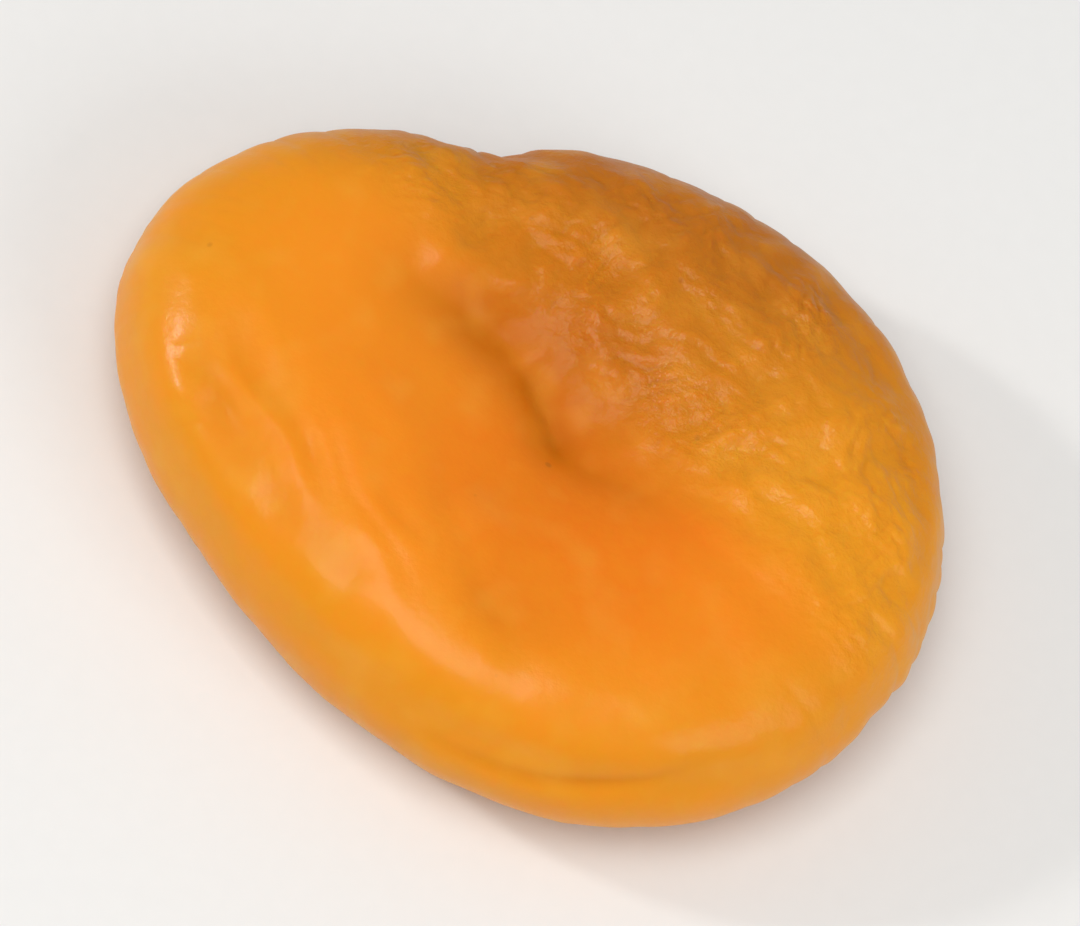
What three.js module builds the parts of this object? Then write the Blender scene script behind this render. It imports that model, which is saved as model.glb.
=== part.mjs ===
// A whole dried apricot. The stone was pushed out through the stem end, and the fruit was pressed
// flat and dried, so it is one piece of soft flesh: a plump rolled rim round a hollow on each face,
// a long cleft where the upper face sank into the place of the stone, and a closed mouth in the rim.
//
// Lengths are in millimetres and angles in degrees, unless a name says otherwise. +Z is up and +X
// runs along the fruit's longest way. The origin is on the surface that the fruit lies on, under
// the middle of its box.
import * as THREE from "three";
import { mergeVertices } from "three/addons/utils/BufferGeometryUtils.js";

// Driving dimensions of the fruit.
const fruitLength = 43.8;
const fruitWidth = 34.5;
const fruitThickness = 11.2;

// How finely the solid is divided: cells across a face, and cells up the rim.
const faceCells = 42;
const rimCells = 12;

// Plan outline: an oval with waves round it, of which the three soft corners are the highest, and
// a dent where the stem was. Heights are shares of the radius, and angles run from +X towards +Y.
const outlineWaves = [
  { count: 2, height: 0.026, peak: 93 },
  { count: 3, height: 0.045, peak: 59 },
  { count: 4, height: 0.007, peak: 0 },
  { count: 5, height: 0.006, peak: 4 },
];
const stemAngle = 119.5;
const stemDent = 0.061;
const stemDentWidth = 11;

// The rolled rim: where it is thickest, and how high the middle of each face stands beside it.
const crestRadius = 0.64; // share of the radius
const upperMiddle = 0.8; // share of the rim's height
const lowerMiddle = 0.7;
const fullerSide = 235; // the upper face is fuller on this side
const fullerShare = 0.05;

// The underside waves, so that the fruit rests under its three corners, pressed flat there.
const footWave = 0.4;
const footAngle = 59;
const footPress = 0.5; // how far the skin would reach through the table
const footEase = 0.25; // how much of that is taken up in the round edge of a flat place

// Creases and ridges of the upper face. Each follows a smooth curve through plan points, fades at
// both ends, and has its own width on the curve's left and right. A negative depth is a ridge.
const cleft = [[-13, 4.4], [-8.8, 3.5], [-4.6, 3.3], [-2, 2], [0.9, -0.4], [5.4, -0.7], [9.6, -2.2]];
const upperCreases = [
  { path: cleft, depth: 0.65, left: 9, right: 3.4 },
  { path: cleft, depth: 0.4, left: 4.5, right: 1.4 },
  { path: [[-3.2, 3], [-0.8, 1.1], [1.8, -1.2]], depth: 0.4, left: 3.2, right: 1.4 },
  { path: [[-12.5, -2], [-7.5, -4.6], [-3, -7], [1.5, -10.5]], depth: -0.5, left: 3.4, right: 4.5 },
  { path: [[-5, -2.5], [-2.4, -6.8], [1.2, -10.6], [5.8, -13.6]], depth: 0.5, left: 5, right: 1.7 },
  { path: [[-17.6, -4.7], [-14, -9.3], [-8.4, -11.9], [-2.8, -14]], depth: 0.3, left: 1.3, right: 1.3 },
  { path: [[-14.8, -3.5], [-11.2, -8], [-5.6, -10.6]], depth: 0.2, left: 1.4, right: 1.4 },
  { path: [[-10.6, 5.4], [-8.4, 5.5], [-5.4, 6.1], [-0.4, 7.1]], depth: -0.4, left: 1.4, right: 1.6 },
  { path: [[-10.5, 7.2], [-6.7, 8.2], [-2.5, 9], [1, 9.8]], depth: 0.25, left: 1.5, right: 1.5 },
  { path: [[-1.2, 9.1], [0.2, 5.8], [1.6, 2.8]], depth: -0.35, left: 1.4, right: 1.4 },
  { path: [[2.2, 10.1], [3.4, 6.4], [5.2, 3]], depth: -0.3, left: 1.4, right: 1.4 },
  { path: [[7.6, 14.4], [13.6, 10.8], [18, 5.2]], depth: 0.35, left: 1.4, right: 1.4 },
  { path: [[-10.4, 14.9], [-8.4, 11], [-7.2, 7.7]], depth: 0.25, left: 2, right: 2 },
];

// The lower face sank less, along one bent crease with shorter ones beside it.
const lowerCreases = [
  { path: [[-12, -2.9], [-6, -0.1], [0.5, 1.7], [6.5, 0.6], [12.5, 3.6]], depth: 1, left: 2, right: 4.2 },
  { path: [[-6, 9.7], [-3.4, 5.2], [-0.5, 2.4]], depth: 0.45, left: 1.6, right: 1.6 },
  { path: [[4.5, -0.6], [6.4, -4.3], [6.2, -9.3]], depth: 0.45, left: 1.6, right: 1.6 },
  { path: [[-15, 4.6], [-9.8, 3.6], [-6.4, 1.7]], depth: 0.4, left: 1.5, right: 1.5 },
];

// The two pits in the cleft of the upper face, where the skin sank deepest.
const pits = [
  { x: -4.6, y: 3.3, along: 2, across: 1.7, depth: 0.5 },
  { x: 0.6, y: -0.6, along: 2, across: 1.6, depth: 0.2 },
];

// Wrinkles on the side of the upper face that lies beyond the cleft: two sets of bent waves cross
// there. They set in along a slanting line beside the cleft, and are lower on the rim.
const wrinkleHeight = 0.16;
const wrinkleLengths = [4.2, 4.8];
const wrinkleTurns = [20, 115];
const wrinkleBend = 70; // degrees of a wave
const wrinkleBendLength = 13;
const wrinkleAcross = 70; // the direction in which they set in
const wrinkleStart = 0.5; // from the middle of the face, in that direction
const wrinkleFull = 6;
const wrinkleRimShare = 0.4;
const wrinkleRimStart = 0.85; // share of the radius

// Puckers spread like rays from a point of a face: so many waves to the full turn, strongest on
// one side of the point. They start some way off it and fade again on the rim.
const upperPuckers = { x: 2.5, y: -1.5, waves: 15, height: 0.15, towards: 30, spread: 45 };
const lowerPuckers = { x: 0, y: 1, waves: 12, height: 0.22, towards: 0, spread: 400 };

const puckerStart = 4;
const puckerFull = 10;
const puckerFade = 0.8; // share of the radius
const puckerEnd = 0.98;

// The seam that runs round the rim, open over a part of it.
const seamRise = 16; // how far above the rim's middle it is, opposite the stem
const seamWidth = 7;
const seamDepth = 0.1;
const seamOpenDepth = 0.3;
const seamOpenAngle = 292;
const seamOpenSpread = 24;

// The mouth in the rim that the stone left by, drawn shut, with puckers round it.
const mouthLength = 4.5;
const mouthHeight = 2.3;
const mouthDepth = 0.75;
const mouthPuckers = 7; // waves to the full turn
const mouthPuckerHeight = 0.15;
const mouthPuckerStart = 1.5; // from the middle of the mouth
const mouthPuckerFull = 4;
const mouthPuckerEnd = 8;

// The relief of each face fades out on the rim, between these heights above the rim's middle.
const faceStart = 4;
const faceFull = 30;

const toRadians = THREE.MathUtils.degToRad;
const toDegrees = THREE.MathUtils.radToDeg;
const smoothstep = THREE.MathUtils.smoothstep;

// A smooth hump: 1 at zero and falling to nothing within about two widths.
const hump = (distance, width) => Math.exp(-((distance / width) ** 2));

// The turn from one angle to another, between -180 and 180 degrees.
const turnFrom = (from, angle) => ((((angle - from) % 360) + 540) % 360) - 180;

// The outline's radius at an angle, as a share of the plain oval's.
function outlineShare(angle) {
  const waves = outlineWaves.reduce(
    (sum, wave) => sum + wave.height * Math.cos(toRadians(wave.count * (angle - wave.peak))),
    0,
  );
  return 1 + waves - stemDent * hump(turnFrom(stemAngle, angle), stemDentWidth);
}

// Half the thickness at a share s of the radius, as a share of the crest's: the root of (1 - s^2)
// times a quadratic in s^2. The quadratic is the one that gives `middle` at the centre, and a crest
// of height 1 at crestRadius.
function discProfile(s, middle) {
  const k = crestRadius * crestRadius;
  const atCrest = 1 / Math.sqrt(1 - k);
  const rise = (atCrest - middle) / k;
  const slope = atCrest / (1 - k) / 2;
  const linear = 2 * rise - slope;
  const square = (slope - rise) / k;
  const q = s * s;
  return Math.sqrt(Math.max(0, 1 - q)) * (middle + linear * q + square * q * q);
}

// A point of the smooth body for a direction of the unit sphere.
function bodyPoint(direction) {
  const s = Math.hypot(direction.x, direction.y);
  const angle = toDegrees(Math.atan2(direction.y, direction.x));
  const reach = 1 + (outlineShare(angle) - 1) * s * s;
  const fuller = 1 + fullerShare * s * s * Math.cos(toRadians(angle - fullerSide));
  const foot = 4 * s * s * (1 - s * s) * footWave * Math.cos(toRadians(3 * (angle - footAngle)));
  const above = (fruitThickness / 2) * fuller * discProfile(s, upperMiddle);
  const below = (fruitThickness / 2) * discProfile(s, lowerMiddle) + foot;
  return new THREE.Vector3(
    (fruitLength / 2) * reach * direction.x,
    (fruitWidth / 2) * reach * direction.y,
    fruitThickness / 2 + (direction.z >= 0 ? above : -below),
  );
}

// A crease with its curve worked out as a row of plan points.
function traced(crease) {
  const curveSteps = 24;
  const knots = crease.path.map(([x, y]) => new THREE.Vector3(x, y, 0));
  const curve = new THREE.CatmullRomCurve3(knots, false, "catmullrom", 0.5);
  return { ...crease, points: curve.getPoints(curveSteps) };
}

// Where a plan point lies beside a curve: how far to its left, and how far along, from 0 to 1.
function besideCurve(points, x, y) {
  let best = { distance: Infinity, left: 0, along: 0 };
  for (let i = 0; i + 1 < points.length; i++) {
    const dx = points[i + 1].x - points[i].x;
    const dy = points[i + 1].y - points[i].y;
    const px = x - points[i].x;
    const py = y - points[i].y;
    const share = THREE.MathUtils.clamp((px * dx + py * dy) / (dx * dx + dy * dy), 0, 1);
    const distance = Math.hypot(px - share * dx, py - share * dy);
    if (distance < best.distance) {
      const side = Math.sign(dx * py - dy * px);
      best = { distance, left: side * distance, along: (i + share) / (points.length - 1) };
    }
  }
  return best;
}

function creaseDepth(crease, x, y) {
  const fadeShare = 0.3;
  const beside = besideCurve(crease.points, x, y);
  const width = beside.left > 0 ? crease.left : crease.right;
  const ends = smoothstep(Math.min(beside.along, 1 - beside.along), 0, fadeShare);
  return crease.depth * ends * hump(beside.distance, width);
}

function pitDepth(pit, x, y) {
  return pit.depth * hump(Math.hypot((x - pit.x) / pit.along, (y - pit.y) / pit.across), 1);
}

// The puckers' height: waves by the angle round their point, none near the point or on the rim.
function puckerHeight(puckers, x, y, s) {
  const bend = 0.12; // radians a millimetre, so that the rays curl a little
  const dx = x - puckers.x;
  const dy = y - puckers.y;
  const angle = toDegrees(Math.atan2(dy, dx));
  const distance = Math.hypot(dx, dy);
  const window =
    smoothstep(distance, puckerStart, puckerFull) * (1 - smoothstep(s, puckerFade, puckerEnd));
  const side = hump(turnFrom(puckers.towards, angle), puckers.spread);
  return puckers.height * window * side * Math.sin(toRadians(puckers.waves * angle) + bend * distance);
}

// The crossing wrinkles' height.
function wrinkled(x, y, s) {
  const along = (turn) => x * Math.cos(toRadians(turn)) + y * Math.sin(toRadians(turn));
  const wave = (length, turn, other) =>
    Math.sin(
      toRadians((360 * along(turn)) / length) +
        toRadians(wrinkleBend) * Math.sin(toRadians((360 * other) / wrinkleBendLength)),
    );
  const beyond = smoothstep(along(wrinkleAcross), wrinkleStart, wrinkleFull);
  const onRim = 1 - (1 - wrinkleRimShare) * smoothstep(s, wrinkleRimStart, 1);
  const first = wave(wrinkleLengths[0], wrinkleTurns[0], y);
  return wrinkleHeight * beyond * onRim * first * wave(wrinkleLengths[1], wrinkleTurns[1], x);
}

function seamGroove(angle, rise) {
  const seamAt = (seamRise / 2) * (1 - Math.cos(toRadians(turnFrom(stemAngle, angle))));
  const open = seamOpenDepth * hump(turnFrom(seamOpenAngle, angle), seamOpenSpread);
  return (seamDepth + open) * hump(rise - seamAt, seamWidth);
}

// The mouth and its puckers, by the place on the skin beside the stem point, rolled out flat.
const stemPoint = bodyPoint(
  new THREE.Vector3(Math.cos(toRadians(stemAngle)), Math.sin(toRadians(stemAngle)), 0),
);
const stemOut = new THREE.Vector3(stemPoint.x, stemPoint.y, 0).normalize();
function mouthGroove(point) {
  const offset = new THREE.Vector3().subVectors(point, stemPoint);
  const across = stemOut.x * offset.y - stemOut.y * offset.x;
  const inward = Math.max(0, -stemOut.dot(offset));
  const up = (offset.z < 0 ? -1 : 1) * (Math.abs(offset.z) + inward);
  const distance = Math.hypot(across, up);
  const window =
    smoothstep(distance, mouthPuckerStart, mouthPuckerFull) *
    (1 - smoothstep(distance, mouthPuckerFull, mouthPuckerEnd));
  const pucker = mouthPuckerHeight * window * Math.cos(mouthPuckers * Math.atan2(up, across));
  return mouthDepth * hump(across, mouthLength) * hump(up, mouthHeight) + pucker;
}

const upper = upperCreases.map(traced);
const lower = lowerCreases.map(traced);
const total = (list, depthOf) => list.reduce((sum, item) => sum + depthOf(item), 0);

// How far the surface moves out along its normal at a point of the body.
function relief(direction, point) {
  const s = Math.hypot(direction.x, direction.y);
  const angle = toDegrees(Math.atan2(direction.y, direction.x));
  const rise = toDegrees(Math.asin(THREE.MathUtils.clamp(direction.z, -1, 1)));
  const { x, y } = point;
  const onUpper = smoothstep(rise, faceStart, faceFull);
  const onLower = smoothstep(-rise, faceStart, faceFull);
  const above =
    wrinkled(x, y, s) +
    puckerHeight(upperPuckers, x, y, s) -
    total(upper, (crease) => creaseDepth(crease, x, y)) -
    total(pits, (pit) => pitDepth(pit, x, y));
  const below =
    puckerHeight(lowerPuckers, x, y, s) - total(lower, (crease) => creaseDepth(crease, x, y));
  return onUpper * above + onLower * below - seamGroove(angle, rise) - mouthGroove(point);
}

// The fruit: a box's grid carried to a sphere, to the smooth body, and to the body with its relief.
// The grid's lines are spread by a tangent, so that the cells of a face come out alike.
function fruitGeometry() {
  const boxHeight = 0.65; // over its width, which sets where the faces end
  const faceAngle = Math.atan(1 / boxHeight);
  const spread = (share) => Math.tan(faceAngle * share) / Math.tan(faceAngle);
  const box = new THREE.BoxGeometry(2, 2, 2 * boxHeight, faceCells, faceCells, rimCells);
  box.deleteAttribute("normal");
  box.deleteAttribute("uv");
  const geometry = mergeVertices(box, 1e-4);
  const position = geometry.getAttribute("position");
  const directions = [];
  const points = [];
  for (let i = 0; i < position.count; i++) {
    const place = new THREE.Vector3().fromBufferAttribute(position, i);
    directions.push(place.set(spread(place.x), spread(place.y), place.z).normalize());
    points.push(bodyPoint(directions[i]));
    position.setXYZ(i, points[i].x, points[i].y, points[i].z);
  }
  geometry.computeVertexNormals();
  const normal = geometry.getAttribute("normal").clone();
  geometry.deleteAttribute("normal");
  for (let i = 0; i < position.count; i++) {
    const out = new THREE.Vector3().fromBufferAttribute(normal, i);
    const moved = out.multiplyScalar(relief(directions[i], points[i])).add(points[i]);
    position.setXYZ(i, moved.x, moved.y, moved.z);
  }
  return geometry;
}

// Height above the table, pressed flat where it would pass through it: a parabola joins the two.
function pressed(z) {
  if (z <= -footEase) return 0;
  return z < footEase ? (z + footEase) ** 2 / (4 * footEase) : z;
}

// Brings the box to the driving dimensions, sets the fruit on the table and presses its foot flat.
function fitted(geometry) {
  geometry.computeBoundingBox();
  const { min, max } = geometry.boundingBox;
  const middle = new THREE.Vector3().addVectors(min, max).multiplyScalar(0.5);
  const size = new THREE.Vector3().subVectors(max, min);
  geometry.translate(-middle.x, -middle.y, -min.z - footPress);
  geometry.scale(fruitLength / size.x, fruitWidth / size.y, fruitThickness / (size.z - footPress));
  const position = geometry.getAttribute("position");
  for (let i = 0; i < position.count; i++) position.setZ(i, pressed(position.getZ(i)));
  geometry.computeVertexNormals();
  return geometry;
}

const flesh = new THREE.MeshStandardMaterial({ color: 0xe8932a, roughness: 0.42, metalness: 0 });
const apricot = new THREE.Mesh(fitted(fruitGeometry()), flesh);
apricot.name = "dried_apricot";

const fruit = new THREE.Group();
fruit.add(apricot);

export default fruit;
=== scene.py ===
# %% [markdown]
# # A dried apricot
# An apricot that is dried whole has its stone pushed out through the stem end. The flesh is then
# pressed and dried until it is a soft, flat cushion with a rolled rim. Here its skin is made as one
# surface, worked out with numpy from a few measures, and given a moist, translucent finish. Lengths
# are in millimetres up to the moment that the mesh is made. Blender's own unit is the metre.

import bpy
import numpy as np
from mathutils import Matrix, Vector


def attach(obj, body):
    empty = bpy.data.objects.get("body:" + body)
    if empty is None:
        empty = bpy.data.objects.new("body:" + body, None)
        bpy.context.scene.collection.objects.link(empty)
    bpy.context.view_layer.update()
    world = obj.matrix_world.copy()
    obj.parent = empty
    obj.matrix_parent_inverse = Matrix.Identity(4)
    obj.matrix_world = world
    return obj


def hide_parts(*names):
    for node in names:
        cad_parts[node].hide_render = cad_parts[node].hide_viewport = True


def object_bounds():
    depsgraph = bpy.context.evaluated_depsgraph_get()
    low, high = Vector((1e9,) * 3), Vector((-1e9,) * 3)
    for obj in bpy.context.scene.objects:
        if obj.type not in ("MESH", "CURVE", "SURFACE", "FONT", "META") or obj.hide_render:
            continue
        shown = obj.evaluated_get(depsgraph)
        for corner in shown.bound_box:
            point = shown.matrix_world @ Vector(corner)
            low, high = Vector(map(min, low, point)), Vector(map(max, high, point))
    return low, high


METRE = 0.001

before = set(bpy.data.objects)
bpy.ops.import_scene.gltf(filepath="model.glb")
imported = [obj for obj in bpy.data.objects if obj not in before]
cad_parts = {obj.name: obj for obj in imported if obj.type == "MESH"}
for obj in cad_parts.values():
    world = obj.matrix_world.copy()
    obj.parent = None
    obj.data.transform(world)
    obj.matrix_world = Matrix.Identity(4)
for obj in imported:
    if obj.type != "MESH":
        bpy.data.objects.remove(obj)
solid_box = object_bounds()
fruit_size = np.array(solid_box[1] - solid_box[0]) / METRE
fruit_length, fruit_width, fruit_thickness = fruit_size
print("the fruit measures", fruit_size.round(2), "mm")

# %% [markdown]
# ## A net of cells over a ball
# The skin is one closed surface. A globe's net of meridians would pinch together in the middle of
# each face, just where the light falls. A box's net has no such pole: six square grids are wrapped
# round a ball. The grid's lines are spread by a tangent, so that the cells come out alike.

# %% The net
face_cells = 160
rim_cells = 52
box_height = 0.65  # over the box's width


def net_over_ball():
    """Directions of unit length and the corners of each four-sided cell. Each of a box's six sides
    is a grid, whose points are divided by their distance from the box's centre."""
    face_angle = np.arctan(1 / box_height)
    line = np.tan(face_angle * np.linspace(-1, 1, face_cells + 1)) / np.tan(face_angle)
    upright = np.linspace(-box_height, box_height, rim_cells + 1)
    a, b = np.meshgrid(line, line, indexing="ij")
    c, d = np.meshgrid(line, upright, indexing="ij")
    top, side = np.full_like(a, box_height), np.ones_like(c)
    sheets = [(a, b, top), (a, -b, -top), (c, -side, d), (-c, side, d), (side, c, d), (-side, -c, d)]
    points, cells, start = [], [], 0
    for x, y, z in sheets:
        index = start + np.arange(x.size).reshape(x.shape)
        corners = [index[:-1, :-1], index[1:, :-1], index[1:, 1:], index[:-1, 1:]]
        cells.append(np.stack(corners, -1).reshape(-1, 4))
        points.append(np.stack([x, y, z], -1).reshape(-1, 3))
        start += x.size
    points, cells = np.concatenate(points), np.concatenate(cells)
    key = np.round(points * 1e5).astype(np.int64)
    _, first, same = np.unique(key, axis=0, return_index=True, return_inverse=True)
    points = points[first]
    return points / np.linalg.norm(points, axis=1, keepdims=True), same.reshape(-1)[cells]


direction, cell = net_over_ball()
print(len(direction), "points in", len(cell), "cells")

# %% [markdown]
# ## The plump body
# Seen from above, the fruit is an oval with three soft corners and a dent at the stem. Cut through,
# it is thick round the rim and sunken in the middle of both faces, like a blood cell. One curve
# gives that section: the height of a ball's surface, times a sum of even powers of the distance
# from the middle.

# %% Small helpers


def hump(distance, width):
    """1 at zero, falling smoothly to nothing within about two widths."""
    return np.exp(-((distance / width) ** 2))


def smoothstep(x, low, high):
    """0 below low, 1 above high, and a smooth S between them."""
    share = np.clip((x - low) / (high - low), 0, 1)
    return share * share * (3 - 2 * share)


def turn_from(start, angle):
    """The turn from one angle to another, in degrees from -180 to 180."""
    return (angle - start + 540) % 360 - 180


def wave(degrees):
    """The cosine of an angle in degrees."""
    return np.cos(np.radians(degrees))


# %% Outline and section
outline_waves = [(2, 0.026, 93), (3, 0.045, 59), (4, 0.007, 0), (5, 0.006, 4)]
stem_angle = 119.5
stem_dent = 0.061
stem_dent_width = 11
crest_radius = 0.64


def outline_share(angle):
    """Radius over the plain oval's: 1, plus waves (count, height, angle of a peak), less the dent."""
    waves = sum(height * wave(count * (angle - peak)) for count, height, peak in outline_waves)
    return 1 + waves - stem_dent * hump(turn_from(stem_angle, angle), stem_dent_width)


def section(s, middle):
    """Half the thickness at a share s of the radius: the root of 1 - s squared, times a quadratic
    in s squared that gives `middle` at the centre and a crest of 1 at crest_radius."""
    k = crest_radius**2
    at_crest = 1 / np.sqrt(1 - k)
    rise, slope = (at_crest - middle) / k, at_crest / (1 - k) / 2
    q = s * s
    quadratic = middle + (2 * rise - slope) * q + (slope - rise) / k * q * q
    return np.sqrt(np.maximum(0, 1 - q)) * quadratic


# %% The body
upper_middle = 0.8  # of the rim's height
lower_middle = 0.7
fuller_share, fuller_side = 0.05, 235
foot_wave, foot_angle = 0.4, 59


def body_point(d):
    """A direction d carried to the smooth body: its plan is stretched to the oval and its waves,
    and its height is the section's, fuller on one side above and waving three times below."""
    s = np.hypot(d[:, 0], d[:, 1])
    angle = np.degrees(np.arctan2(d[:, 1], d[:, 0]))
    reach = 1 + (outline_share(angle) - 1) * s * s
    half = fruit_thickness / 2
    above = half * section(s, upper_middle) * (1 + fuller_share * s * s * wave(angle - fuller_side))
    foot = foot_wave * 4 * s * s * (1 - s * s) * wave(3 * (angle - foot_angle))
    below = half * section(s, lower_middle) + foot
    z = half + np.where(d[:, 2] >= 0, above, -below)
    plan = d[:, :2] * reach[:, None] * [fruit_length / 2, fruit_width / 2]
    return np.column_stack([plan, z])


body = body_point(direction)
print("body before its folds, from", body.min(0).round(1), "to", body.max(0).round(1))

# %% [markdown]
# ## Where a point lies
# Everything that follows depends on the place on the body. These are the words for it: the share of
# the radius, the angle round the fruit, the rise above the rim's middle, and the plan's x and y.

# %% Places on the body
share = np.hypot(direction[:, 0], direction[:, 1])
angle = np.degrees(np.arctan2(direction[:, 1], direction[:, 0]))
rise = np.degrees(np.arcsin(np.clip(direction[:, 2], -1, 1)))
x, y = body[:, 0], body[:, 1]
on_upper, on_lower = smoothstep(rise, 4, 30), smoothstep(-rise, 4, 30)
print("share of the points on the upper face: %.2f" % (on_upper > 0.5).mean())

# %% [markdown]
# ## The cleft, the folds and the ridges
# Where the stone has gone, the upper face sinks into a long slanting cleft. A plump lobe rolls over
# into it from one side, and the other side is lower and wrinkled. Each fold could be sculpted by
# hand. Instead it is drawn as a smooth curve through a few points of the plan, and the skin goes
# down by an amount that depends on the distance to the curve. A ridge is a fold of negative depth.

# %% A curve through points


def curve_points(knots, steps=24):
    """A smooth curve through the knots: between two of them it is the cubic whose slope at each
    knot is half the way from the knot before to the knot after."""
    p = np.array(knots, float)
    p = np.vstack([2 * p[0] - p[1], p, 2 * p[-1] - p[-2]])
    t = np.linspace(0, len(knots) - 1, steps + 1)
    i = np.minimum(t.astype(int), len(knots) - 2)
    f = (t - i)[:, None]
    leave, arrive = (p[i + 2] - p[i]) / 2, (p[i + 3] - p[i + 1]) / 2
    start, end = p[i + 1], p[i + 2]
    blend = 3 * f**2 - 2 * f**3
    return start + blend * (end - start) + f * (1 - f) ** 2 * leave - f**2 * (1 - f) * arrive


# %% The depth of a fold
fold_fade = 0.3  # share of a fold's length over which it fades at each end


def fold_depth(fold):
    """Depth of a fold (knots, depth, width on its left, width on its right) at each point: a hump
    over the distance to the nearest stretch of the curve, faded out at the curve's two ends."""
    knots, depth, left_width, right_width = fold
    points = curve_points(knots)
    nearest = np.full(x.shape, np.inf)
    left, along = np.zeros(x.shape), np.zeros(x.shape)
    for i, (start, step) in enumerate(zip(points[:-1], np.diff(points, axis=0))):
        px, py = x - start[0], y - start[1]
        part = np.clip((px * step[0] + py * step[1]) / (step @ step), 0, 1)
        distance = np.hypot(px - part * step[0], py - part * step[1])
        closer = distance < nearest
        nearest = np.where(closer, distance, nearest)
        left = np.where(closer, step[0] * py - step[1] * px, left)
        along = np.where(closer, (i + part) / (len(points) - 1), along)
    ends = smoothstep(np.minimum(along, 1 - along), 0, fold_fade)
    return depth * ends * hump(nearest, np.where(left > 0, left_width, right_width))


# %% Folds and pits of the upper face
cleft = [(-13, 4.4), (-8.8, 3.5), (-4.6, 3.3), (-2, 2), (0.9, -0.4), (5.4, -0.7), (9.6, -2.2)]
upper_folds = [
    (cleft, 0.65, 9, 3.4),
    (cleft, 0.4, 4.5, 1.4),
    ([(-3.2, 3), (-0.8, 1.1), (1.8, -1.2)], 0.4, 3.2, 1.4),
    ([(-12.5, -2), (-7.5, -4.6), (-3, -7), (1.5, -10.5)], -0.5, 3.4, 4.5),
    ([(-5, -2.5), (-2.4, -6.8), (1.2, -10.6), (5.8, -13.6)], 0.5, 5, 1.7),
    ([(-17.6, -4.7), (-14, -9.3), (-8.4, -11.9), (-2.8, -14)], 0.3, 1.3, 1.3),
    ([(-14.8, -3.5), (-11.2, -8), (-5.6, -10.6)], 0.2, 1.4, 1.4),
    ([(-10.6, 5.4), (-8.4, 5.5), (-5.4, 6.1), (-0.4, 7.1)], -0.4, 1.4, 1.6),
    ([(-10.5, 7.2), (-6.7, 8.2), (-2.5, 9), (1, 9.8)], 0.25, 1.5, 1.5),
    ([(-1.2, 9.1), (0.2, 5.8), (1.6, 2.8)], -0.35, 1.4, 1.4),
    ([(2.2, 10.1), (3.4, 6.4), (5.2, 3)], -0.3, 1.4, 1.4),
    ([(7.6, 14.4), (13.6, 10.8), (18, 5.2)], 0.35, 1.4, 1.4),
    ([(-10.4, 14.9), (-8.4, 11), (-7.2, 7.7)], 0.25, 2, 2),
]
pits = [(-4.6, 3.3, 2, 1.7, 0.5), (0.6, -0.6, 2, 1.6, 0.2)]
upper_depth = sum(fold_depth(fold) for fold in upper_folds)
for pit_x, pit_y, along, across, depth in pits:
    upper_depth = upper_depth + depth * hump(np.hypot((x - pit_x) / along, (y - pit_y) / across), 1)
print("deepest place of the upper face: %.1f mm down" % upper_depth.max())

# %% Folds of the lower face
lower_folds = [
    ([(-12, -2.9), (-6, -0.1), (0.5, 1.7), (6.5, 0.6), (12.5, 3.6)], 1.0, 2, 4.2),
    ([(-6, 9.7), (-3.4, 5.2), (-0.5, 2.4)], 0.45, 1.6, 1.6),
    ([(4.5, -0.6), (6.4, -4.3), (6.2, -9.3)], 0.45, 1.6, 1.6),
    ([(-15, 4.6), (-9.8, 3.6), (-6.4, 1.7)], 0.4, 1.5, 1.5),
]
lower_depth = sum(fold_depth(fold) for fold in lower_folds)
print("deepest place of the lower face: %.1f mm up" % lower_depth.max())

# %% Thin folds, finer than the measured solid has
thin_folds = [
    (cleft, 0.12, 1, 0.6),
    ([(-3, 2.9), (-0.9, 1.1), (1.4, -0.9)], 0.3, 0.9, 0.5),
    ([(-19.2, -2), (-16.6, -6.6), (-12.6, -10)], 0.1, 0.9, 0.9),
    ([(-17, -2.6), (-14.2, -6.6), (-10.6, -9.6)], 0.08, 0.9, 0.9),
    ([(-13.8, -4), (-11.2, -7.2), (-8.2, -9.6)], 0.07, 0.9, 0.9),
    ([(14, 9.8), (17.4, 6.4), (19.2, 2)], 0.16, 0.6, 0.6),
    ([(12, 7.6), (15.4, 4.6), (17, 1.2)], 0.1, 0.6, 0.6),
]
thin_depth = sum(fold_depth(fold) for fold in thin_folds)
print(len(thin_folds), "thin folds, up to %.2f mm deep" % thin_depth.max())

# %% [markdown]
# ## Puckers and crossing wrinkles
# Drying draws the skin into rays that run out to the rim. They are waves by the angle round a
# point. On the side beyond the cleft, longer wrinkles cross each other and raise low cushions
# between them. Two sets of bent waves, multiplied, give that.

# %% Puckers and wrinkles
pucker_curl = 0.12  # radians a millimetre
pucker_start, pucker_full = 4, 10  # from the point that the rays leave
pucker_fade, pucker_end = 0.8, 0.98  # shares of the radius
wave_bend = 70  # degrees of a wave
bend_length = 13


def pucker_height(px, py, waves, height, towards, spread):
    """Waves by the angle round a point, from a little way off it outwards and fading on the rim,
    strongest towards one side and curling a little."""
    dx, dy = x - px, y - py
    ray, distance = np.degrees(np.arctan2(dy, dx)), np.hypot(dx, dy)
    out = 1 - smoothstep(share, pucker_fade, pucker_end)
    window = smoothstep(distance, pucker_start, pucker_full) * out
    side = hump(turn_from(towards, ray), spread)
    return height * window * side * np.sin(np.radians(waves * ray) + pucker_curl * distance)


def bent_wave(length, turn, other):
    """Waves of a length that run towards a turn, bent by a slower wave that runs along `other`."""
    along = x * wave(turn) + y * wave(turn - 90)
    slower = np.sin(np.radians(360 * other / bend_length))
    return np.sin(np.radians(360 * along / length + wave_bend * slower))


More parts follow.
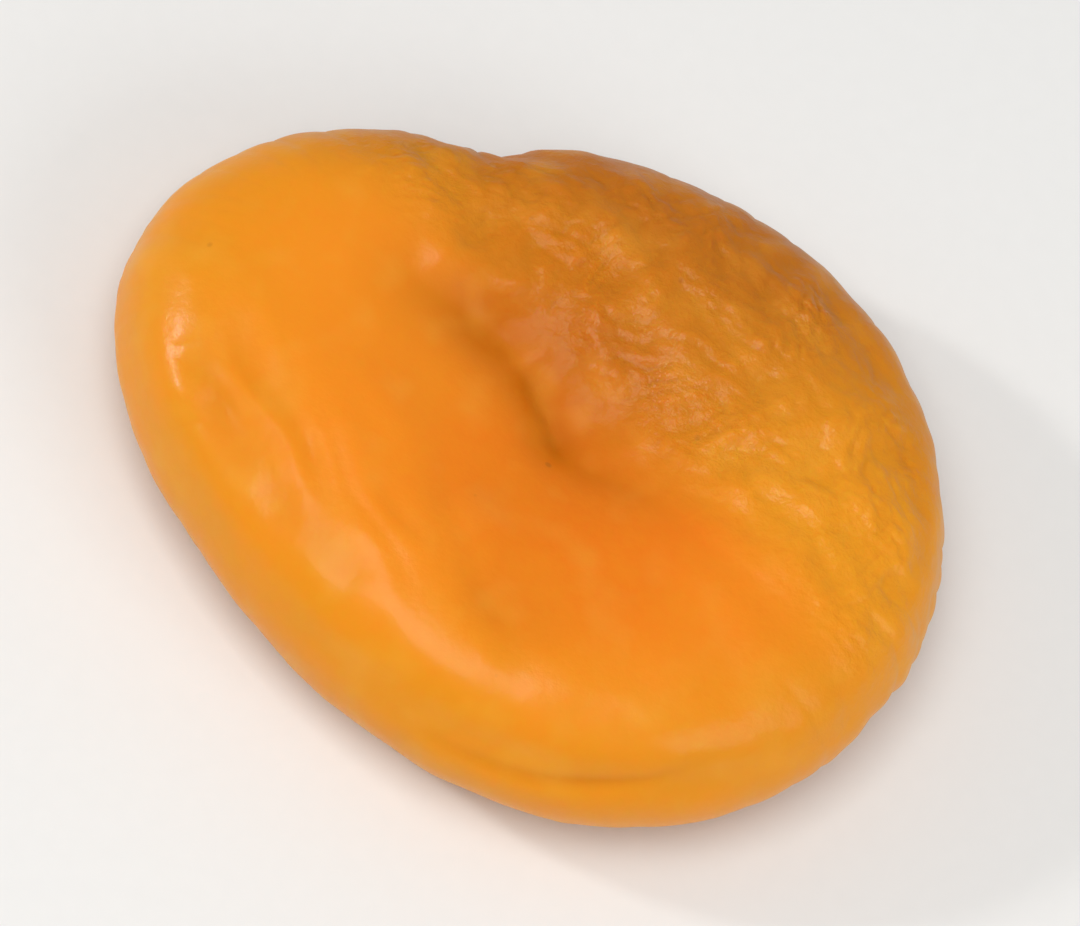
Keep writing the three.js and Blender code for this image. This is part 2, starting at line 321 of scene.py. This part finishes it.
wrinkle_height = 0.16
across_cleft = x * wave(70) + y * wave(20)
crinkled = smoothstep(across_cleft, 0.5, 6) * (1 - 0.6 * smoothstep(share, 0.85, 1))
one_way = bent_wave(length=4.2, turn=20, other=y)
other_way = bent_wave(length=4.8, turn=115, other=x)
wrinkles = wrinkle_height * crinkled * one_way * other_way
rays_above = pucker_height(2.5, -1.5, waves=15, height=0.15, towards=30, spread=45)
rays_below = pucker_height(0, 1, waves=12, height=0.22, towards=0, spread=400)
print("wrinkles up to %.2f mm, rays up to %.2f mm" % (wrinkles.max(), rays_below.max()))

# %% [markdown]
# ## Seam and mouth
# The fruit's seam runs round the rim as a shallow groove. The slit that the stone left by is drawn
# shut at the stem end, with small puckers round it. Both are humps again: the seam's by the rise on
# the rim, and the mouth's by the place on the skin round the stem, rolled out flat.

# %% Seam and mouth
seam_lift = 8  # degrees of rise, twice over opposite the stem
seam_width = 7  # degrees of rise
seam_shallow, seam_opened = 0.1, 0.3
seam_open_angle, seam_open_width = 292, 24


def seam_depth():
    """A groove by the rise, level with the mouth at the stem and higher opposite, and deeper over
    one stretch."""
    seam_at = seam_lift * (1 - wave(turn_from(stem_angle, angle)))
    opened = seam_opened * hump(turn_from(seam_open_angle, angle), seam_open_width)
    return (seam_shallow + opened) * hump(rise - seam_at, seam_width)


def mouth_place():
    """How far each point lies across and above the stem point, with the skin rolled out flat."""
    stem = body_point(np.array([[wave(stem_angle), wave(stem_angle - 90), 0.0]]))[0]
    out = stem[:2] / np.linalg.norm(stem[:2])
    offset = body - stem
    across = out[0] * offset[:, 1] - out[1] * offset[:, 0]
    inward = np.maximum(0, -(offset[:, :2] @ out))
    up = np.where(offset[:, 2] < 0, -1, 1) * (np.abs(offset[:, 2]) + inward)
    return across, up


across_mouth, above_mouth = mouth_place()
from_mouth = np.hypot(across_mouth, above_mouth)
mouth_turn = np.arctan2(above_mouth, across_mouth)
ring = smoothstep(from_mouth, 1.5, 4) * (1 - smoothstep(from_mouth, 4, 8))
mouth_depth, mouth_width, mouth_rise = 0.75, 4.5, 2.3
mouth_puckers, mouth_pucker_height = 7, 0.15
closed = mouth_depth * hump(across_mouth, mouth_width) * hump(above_mouth, mouth_rise)
mouth = closed + mouth_pucker_height * ring * np.cos(mouth_puckers * mouth_turn)
print("mouth %.1f mm deep" % mouth.max())

# %% The relief of the measured solid, with the thin folds
above = wrinkles + rays_above - upper_depth - thin_depth
below = rays_below - lower_depth
relief = on_upper * above + on_lower * below - seam_depth() - mouth
print("skin moves from %.1f to %.1f mm" % (relief.min(), relief.max()))

# %% [markdown]
# ## Noise for the crinkles
# Finer crinkles are noise: random slopes on a lattice of cubes, blended smoothly between its
# corners. Folding the noise at zero turns its smooth hills into cushions parted by narrow grooves,
# as wrinkled skin has. The place that the noise is read at is first shifted by slower noise, so
# that no row of cubes shows. All of it is seeded, so each run is alike.

# %% Noise


def soft_noise(place, size, seed):
    """Smooth random values from about -1 to 1: each corner of a lattice of cubes of that size has
    a random slope, and the slopes' planes are blended across the cube by S-shaped shares."""
    count = 32
    slopes = np.random.default_rng(seed).normal(0, 1, (count, count, count, 3))
    points = place / size
    low = np.floor(points)
    offset = points - low
    blend = offset**3 * (offset * (offset * 6 - 15) + 10)
    low = low.astype(int)
    value = np.zeros(len(points))
    for corner in np.ndindex(2, 2, 2):
        i = (low + corner) % count
        weight = np.prod(np.where(corner, blend, 1 - blend), axis=1)
        value += weight * np.sum(slopes[i[:, 0], i[:, 1], i[:, 2]] * (offset - corner), axis=1)
    return value


def cushions(place, size, seed):
    """From 0 in a narrow groove to 1 on a cushion: the root of the noise's distance from zero."""
    return np.sqrt(np.abs(soft_noise(place, size, seed)))


def on_drum(turn, radius, height):
    """The place on a drum at a turn in radians: noise read there closes up after a full turn."""
    return np.column_stack([radius * np.cos(turn), radius * np.sin(turn), height])


warp = np.column_stack([soft_noise(body, size=5, seed=seed) for seed in (1, 2, 3)])
warp_reach = 1.2
skin = body + warp_reach * warp
print("places shifted by up to %.1f mm" % (warp_reach * np.abs(warp).max()))

# %% [markdown]
# ## Crinkles of each part of the skin
# The skin beyond the cleft is crinkled like thin leather, with clusters of fine grains. The lobe is
# nearly taut, with soft ripples that lie along its shoulder. Round the rim, folds run up and down,
# stronger low down and on the side that is not taut. The mouth has short folds round a slit.

# %% The crinkled side
ray_x, ray_y = skin[:, 0] - 2.5, skin[:, 1] + 3
ray_turn = np.degrees(np.arctan2(ray_y, ray_x))
ray_place = np.column_stack([ray_turn / 5, np.hypot(ray_x, ray_y) / 4, rise / 30])
clusters = 0.5 + 0.5 * smoothstep(soft_noise(body, size=4.5, seed=21), -0.2, 0.6)
grains = 0.25 * clusters * cushions(skin, size=0.85, seed=12)
folds_between = 0.2 * cushions(skin, size=1.7, seed=11)
fine = folds_between + grains + 0.08 * soft_noise(ray_place, size=1, seed=13) - 0.2
calmer = 1 - 0.6 * smoothstep(share, 0.78, 0.95)
crinkle = on_upper * crinkled * calmer * fine
print("crinkled side: from %.2f to %.2f mm" % (crinkle.min(), crinkle.max()))

# %% The taut lobe and the underside
streaked = on_upper * hump(turn_from(224, angle), 46) * hump(share - 0.76, 0.24)
along_streak = skin[:, 0] * wave(41) - skin[:, 1] * wave(49)
across_streak = skin[:, 0] * wave(49) + skin[:, 1] * wave(41)
streak_place = np.column_stack([along_streak, across_streak * 3, skin[:, 2]])
crinkle = crinkle + 0.17 * streaked * soft_noise(streak_place, size=5, seed=18)
crinkle = crinkle + 0.12 * soft_noise(skin, size=4.5, seed=14)
crinkle = crinkle + 0.03 * soft_noise(skin, size=2.2, seed=15)
under = 0.2 * cushions(skin, size=2.6, seed=16) + 0.1 * cushions(skin, size=1.3, seed=17)
crinkle = crinkle + on_lower * under
print("with the lobe and the underside: from %.2f to %.2f mm" % (crinkle.min(), crinkle.max()))

# %% Folds of the rim
taut = 1 - smoothstep(0.35 * x + 0.94 * y, -8, 6)
on_rim = smoothstep(share, 0.72, 0.96)
low_rim = smoothstep(-rise, -14, 12)
rim_place = on_drum(np.radians(angle), 9, skin[:, 2] / 6) + 0.25 * warp
rim_height = (0.17 - 0.1 * taut) * (1 + 1.4 * low_rim * (1 - taut))
rim_folds = on_rim * rim_height * (cushions(rim_place, size=1, seed=19) - 0.5)
rim_dents = 0.3 * on_rim * low_rim * (1 - 0.7 * taut) * soft_noise(skin, size=3.5, seed=22)
crinkle = crinkle + rim_folds + rim_dents
print("rim folds from %.2f to %.2f mm" % (rim_folds.min(), rim_folds.max()))

# %% Slit, mouth folds and seam line
by_mouth = smoothstep(from_mouth, 0.5, 2) * (1 - smoothstep(from_mouth, 3.5, 8))
mouth_skin = on_drum(mouth_turn, 2.4, from_mouth / 8)
mouth_folds = 0.3 * by_mouth * (cushions(mouth_skin, size=1, seed=20) - 0.5)
slit = 0.7 * hump(across_mouth, 2.6) * hump(above_mouth, 0.6)
line_at = 11 + 0.009 * turn_from(275, angle) ** 2
seam_line = 0.12 * hump(turn_from(291, angle), 15) * hump(rise - line_at, 2.2)
crinkle = crinkle + mouth_folds - slit - seam_line
print("all crinkles: from %.2f to %.2f mm" % (crinkle.min(), crinkle.max()))

# %% [markdown]
# ## The finished skin
# Every point moves along the smooth body's own outward direction, by the relief and the crinkles
# together. Last, the box is brought back to the measured size, and the three lowest places are
# pressed flat, where the fruit lies.

# %% Skin points


def outward(points):
    """Outward direction at each point: the sum over its cells of the cross product of a cell's
    diagonals, made one long."""
    a, b, c, d = (points[cell[:, i]] for i in range(4))
    normal = np.cross(c - a, d - b)
    total = np.zeros_like(points)
    for i in range(4):
        for k in range(3):
            total[:, k] += np.bincount(cell[:, i], normal[:, k], len(points))
    return total / np.linalg.norm(total, axis=1, keepdims=True)


def on_table(points, press=0.5, ease=0.25):
    """Fits the box to the measured size with the lowest point `press` under the table. What lies
    more than `ease` under it is flat, and a parabola joins the flat place to the round skin."""
    low, high = points.min(0), points.max(0)
    size = high - low
    points = points - [(low[0] + high[0]) / 2, (low[1] + high[1]) / 2, low[2] + press]
    points = points * fruit_size / [size[0], size[1], size[2] - press]
    z = points[:, 2]
    rounded = np.where(z < ease, (z + ease) ** 2 / (4 * ease), z)
    points[:, 2] = np.where(z <= -ease, 0, rounded)
    return points


skin_points = on_table(body + outward(body) * (relief + crinkle)[:, None])
print("skin from", skin_points.min(0).round(2), "to", skin_points.max(0).round(2))

# %% The mesh


def mesh_object(name, points, faces):
    """An object with a mesh of these points, in millimetres, and faces, shaded smooth."""
    mesh = bpy.data.meshes.new(name)
    mesh.from_pydata((points * METRE).tolist(), [], faces.tolist())
    mesh.polygons.foreach_set("use_smooth", np.ones(len(faces), bool))
    mesh.update()
    made = bpy.data.objects.new(name, mesh)
    bpy.context.scene.collection.objects.link(made)
    return made


fruit = mesh_object("dried_apricot_skin", skin_points, cell)
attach(fruit, "root")
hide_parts("dried_apricot")
print("triangles:", 2 * len(cell))

# %% [markdown]
# ## Where the colour changes
# The colour follows the shape. Thin flesh at the rim lets light through and looks yellow, and the
# thick middle is orange. Painted shade darkens the cleft and the other sunken places, the slope just
# beyond the cleft, and the far side.
# These places are known from the sums above, so they are kept on the mesh as masks, which the
# finish reads by name.

# %% Masks


def add_mask(name, values):
    """A number from 0 to 1 for each point of the fruit's mesh."""
    made = fruit.data.attributes.new(name, "FLOAT", "POINT")
    made.data.foreach_set("value", np.clip(values, 0, 1).astype(np.float32))


# Painted shade: the skin is painted darker the deeper it sinks, in the cleft, the folds, the mouth,
# the slit and the seam line.
full_above, full_below = 2.3, 2  # depths at which the skin has the whole of the deep colour
sunken = on_upper * (upper_depth / full_above + thin_depth) + on_lower * lower_depth / full_below
add_mask("sunken", sunken + 0.4 * mouth + slit + 3 * seam_line)
add_mask("core", on_upper * hump(np.hypot((x - 4) / 11, (y + 3.5) / 8), 1))
add_mask("rim", smoothstep(share, 0.55, 1.0) * (1 - 0.45 * smoothstep(-rise, -12, 5)))
# Painted shade on the far side.
add_mask("far", smoothstep(y + 0.05 * x, 4, 14) * (1 - 0.6 * smoothstep(x, 4, 16)))
add_mask("crinkled", on_upper * crinkled + 0.6 * on_lower)
# Painted shade on the slope just beyond the cleft.
add_mask("dull", on_upper * hump(np.hypot(x / 8, (y - 5.4) / 4.2), 1))
add_mask("grainy", on_upper * crinkled * clusters + 0.5 * on_lower + 0.25 * on_rim * (1 - taut))
print("masks:", [a.name for a in fruit.data.attributes if a.data_type == "FLOAT"])

# %% [markdown]
# ## The finish
# Dried apricot flesh is like stiff jelly under a thin, moist skin. Light goes in, scatters and
# comes out orange, so the Principled shader's subsurface is used, and the base colour carries the
# same zones for programs that have none. The gloss is tinted like the flesh, because most of it has
# passed through a little of it, and a thin clear coat gives the sticky shine.

# %% Material helpers


def new_material(name):
    """An empty node material, its tree, and its Principled shader joined to the output."""
    made = bpy.data.materials.new(name)
    made.use_nodes = True
    return made, made.node_tree, made.node_tree.nodes["Principled BSDF"]


def feed(tree, value, slot):
    """Links a socket to an input, or sets the input to a plain value."""
    if isinstance(value, bpy.types.NodeSocket):
        tree.links.new(value, slot)
    else:
        slot.default_value = value


def node(tree, kind, **settings):
    """A node of that kind. A setting named after an input feeds it, with _ for a space, and any
    other sets a property."""
    made = tree.nodes.new(kind)
    for key, value in settings.items():
        if hasattr(made, key):
            setattr(made, key, value)
        else:
            feed(tree, value, made.inputs[key.replace("_", " ")])
    return made


def times_plus(tree, a, b, c=0.0, clamp=False):
    """The output of a times b, plus c."""
    made = node(tree, "ShaderNodeMath", operation="MULTIPLY_ADD", use_clamp=clamp)
    for value, slot in zip((a, b, c), made.inputs):
        feed(tree, value, slot)
    return made.outputs[0]


def spread(tree, value, low, high, to_low, to_high):
    """The output of a value between low and high, carried to between to_low and to_high."""
    ends = {"From_Min": low, "From_Max": high, "To_Min": to_low, "To_Max": to_high}
    return node(tree, "ShaderNodeMapRange", Value=value, **ends).outputs["Result"]


def mix_colour(tree, share_of_b, a, b):
    """The colour output of a mix of a and b."""
    made = node(tree, "ShaderNodeMix", data_type="RGBA")
    colour_slots = (made.inputs[0], made.inputs[6], made.inputs[7])
    for value, slot in zip((share_of_b, a, b), colour_slots):
        feed(tree, value, slot)
    return made.outputs[2]


# %% The colours of the flesh, and of its painted shade
amber = (0.84, 0.275, 0.009, 1)
orange = (0.82, 0.205, 0.005, 1)
yellow = (0.77, 0.288, 0.007, 1)
crinkle_gold = (0.78, 0.305, 0.010, 1)
# painted shade of the slope just beyond the cleft
beyond_cleft_shade_orange = (0.53, 0.155, 0.006, 1)
# painted shade of the far side
tan = (0.49, 0.15, 0.005, 1)
# painted shade of the cleft and the other sunken places
sunken_shade_orange = (0.54, 0.13, 0.002, 1)
pale_fleck = (0.85, 0.4, 0.04, 1)
dark_dot = (0.2, 0.05, 0.01, 1)
print("from", amber[:3], "at the lobe to", sunken_shade_orange[:3], "in the cleft")

# %% [markdown]
# The masks alone would give even zones with soft borders. Real flesh is cloudy, so a noise of about
# five millimetres makes the borders wander. Faint pale flecks and a few dark dots of the skin come
# on top.

# %% Colour over the skin
flesh, tree, shader = new_material("apricot_flesh")
place = node(tree, "ShaderNodeTexCoord").outputs["Object"]
cloud = node(tree, "ShaderNodeTexNoise", Vector=place, Scale=210.0, Detail=4.0, Roughness=0.6)
mottle = spread(tree, cloud.outputs["Fac"], 0.35, 0.65, -0.4, 0.4)


def mask(name):
    """The output that reads one of the mesh's masks."""
    return node(tree, "ShaderNodeAttribute", attribute_name=name).outputs["Fac"]


def patchy(name):
    """A mask made uneven by the mottle: the mask, times 1 plus the mottle."""
    return times_plus(tree, mask(name), mottle, mask(name), clamp=True)


colour = mix_colour(tree, patchy("core"), amber, orange)
colour = mix_colour(tree, patchy("rim"), colour, yellow)
colour = mix_colour(tree, mask("crinkled"), colour, crinkle_gold)
# painted shade on the slope just beyond the cleft
colour = mix_colour(tree, mask("dull"), colour, beyond_cleft_shade_orange)
# painted shade on the far side
colour = mix_colour(tree, mask("far"), colour, tan)
# painted shade: darker the deeper the skin sinks
colour = mix_colour(tree, mask("sunken"), colour, sunken_shade_orange)
fleck = node(tree, "ShaderNodeTexNoise", Vector=place, Scale=420.0, Detail=1.0)
colour = mix_colour(tree, spread(tree, fleck.outputs["Fac"], 0.5, 0.75, 0, 0.22), colour, pale_fleck)
dots = node(tree, "ShaderNodeTexVoronoi", Vector=place, Scale=260.0)
dot_share = spread(tree, dots.outputs["Distance"], 0.03, 0.06, 0.3, 0)
feed(tree, mix_colour(tree, dot_share, colour, dark_dot), shader.inputs["Base Color"])
print("colour made by", len(tree.nodes), "nodes")

# %% [markdown]
# The shine is weaker down in the cleft, where the skin is dull. The finest grain is too small for
# the mesh, so a bump gives it: a noise of about half a millimetre, strong in the grainy clusters
# and faint on the lobe.

# %% Depth, shine and grain
feed(tree, times_plus(tree, mask("sunken"), 0.1, 0.5), shader.inputs["Roughness"])
feed(tree, times_plus(tree, mask("sunken"), -0.25, 0.25, clamp=True), shader.inputs["Coat Weight"])
shader.inputs["Coat Roughness"].default_value = 0.24
shader.inputs["IOR"].default_value = 1.45
shader.inputs["Specular IOR Level"].default_value = 0.28
shader.inputs["Specular Tint"].default_value = (1.0, 0.78, 0.36, 1)
shader.inputs["Subsurface Weight"].default_value = 0.7
shader.inputs["Subsurface Radius"].default_value = (1.0, 0.4, 0.1)
shader.inputs["Subsurface Scale"].default_value = 0.0013
grain = node(tree, "ShaderNodeTexNoise", Vector=place, Scale=1500.0, Detail=3.0, Roughness=0.6)
grain_share = times_plus(tree, mask("grainy"), 1.6, 0.25)
grain_height = times_plus(tree, grain.outputs["Fac"], grain_share)
bump = node(tree, "ShaderNodeBump", Strength=0.5, Distance=0.0002, Height=grain_height)
feed(tree, bump.outputs["Normal"], shader.inputs["Normal"])
feed(tree, bump.outputs["Normal"], shader.inputs["Coat Normal"])
fruit.data.materials.append(flesh)
print("flesh finish has", len(tree.nodes), "nodes")

# %% [markdown]
# ## The table, the camera and the light
# A pale, even table carries the fruit. The camera has a long lens, looks down at 64 degrees, and is
# rolled so that the fruit's long way slants as in the photograph.

# %% Table
table_half = 600.0
corners = np.array([[-1, -1, 0], [1, -1, 0], [1, 1, 0], [-1, 1, 0]]) * table_half
table = mesh_object("table", corners, np.array([[0, 1, 2, 3]]))
paper, tree, shader = new_material("table_paper")
place = node(tree, "ShaderNodeTexCoord").outputs["Object"]
speck = node(tree, "ShaderNodeTexNoise", Vector=place, Scale=900.0, Detail=2.0)
paper_grey, paper_pale = (0.78, 0.78, 0.77, 1), (0.80, 0.80, 0.79, 1)
tone = mix_colour(tree, speck.outputs["Fac"], paper_grey, paper_pale)
feed(tree, tone, shader.inputs["Base Color"])
shader.inputs["Roughness"].default_value = 0.8
table.data.materials.append(paper)
print("table %.1f m wide" % (2 * table_half * METRE))

# %% Camera
camera_lens = 300.0
sensor_width = 36.0
view_elevation = 64.0
view_roll = 28.5
frame_width = 53.5
aim = np.array([0.86, -0.07, fruit_thickness / 2])
distance = frame_width * camera_lens / sensor_width
back = np.array([0, -wave(view_elevation), wave(90 - view_elevation)])
camera_data = bpy.data.cameras.new("camera")
camera_data.lens = camera_lens
camera_data.sensor_width = sensor_width
camera = bpy.data.objects.new("camera", camera_data)
bpy.context.scene.collection.objects.link(camera)
upright = Vector(-back).to_track_quat("-Z", "Y").to_matrix().to_4x4()
roll = Matrix.Rotation(np.radians(view_roll), 4, "Z")
camera.matrix_world = Matrix.Translation(Vector((aim + back * distance) * METRE)) @ upright @ roll
bpy.context.scene.camera = camera
print("camera %.0f mm away" % distance)

# %% [markdown]
# The light is soft: a wide panel high above, a weaker one low on the right, and a pale sky all
# round. A small lamp low on the left gives the glints on the lobe's shoulder and the crinkles.

# %% Light
lamp_tint = (1.0, 0.98, 0.95)


def panel(name, place, width, watts):
    """A square area lamp at a place, in millimetres, facing the fruit."""
    data = bpy.data.lights.new(name, "AREA")
    data.size = width * METRE
    data.energy = watts
    data.color = lamp_tint
    lamp = bpy.data.objects.new(name, data)
    bpy.context.scene.collection.objects.link(lamp)
    lamp.location = Vector(place) * METRE
    lamp.rotation_euler = (-Vector(place)).to_track_quat("-Z", "Y").to_euler()
    return lamp


panel("wide_light", (-50, -130, 475), width=260, watts=1.3)
panel("right_light", (380, -150, 300), width=260, watts=0.65)
panel("spark_light", (-375, -75, 243), width=40, watts=0.5)
world = bpy.data.worlds.new("pale_room")
world.use_nodes = True
sky = world.node_tree.nodes["Background"]
sky.inputs["Color"].default_value = (0.95, 0.97, 1.0, 1)
sky.inputs["Strength"].default_value = 0.38
bpy.context.scene.world = world
bpy.context.scene.view_settings.view_transform = "Standard"
print("lamps:", [light.name for light in bpy.data.lights])
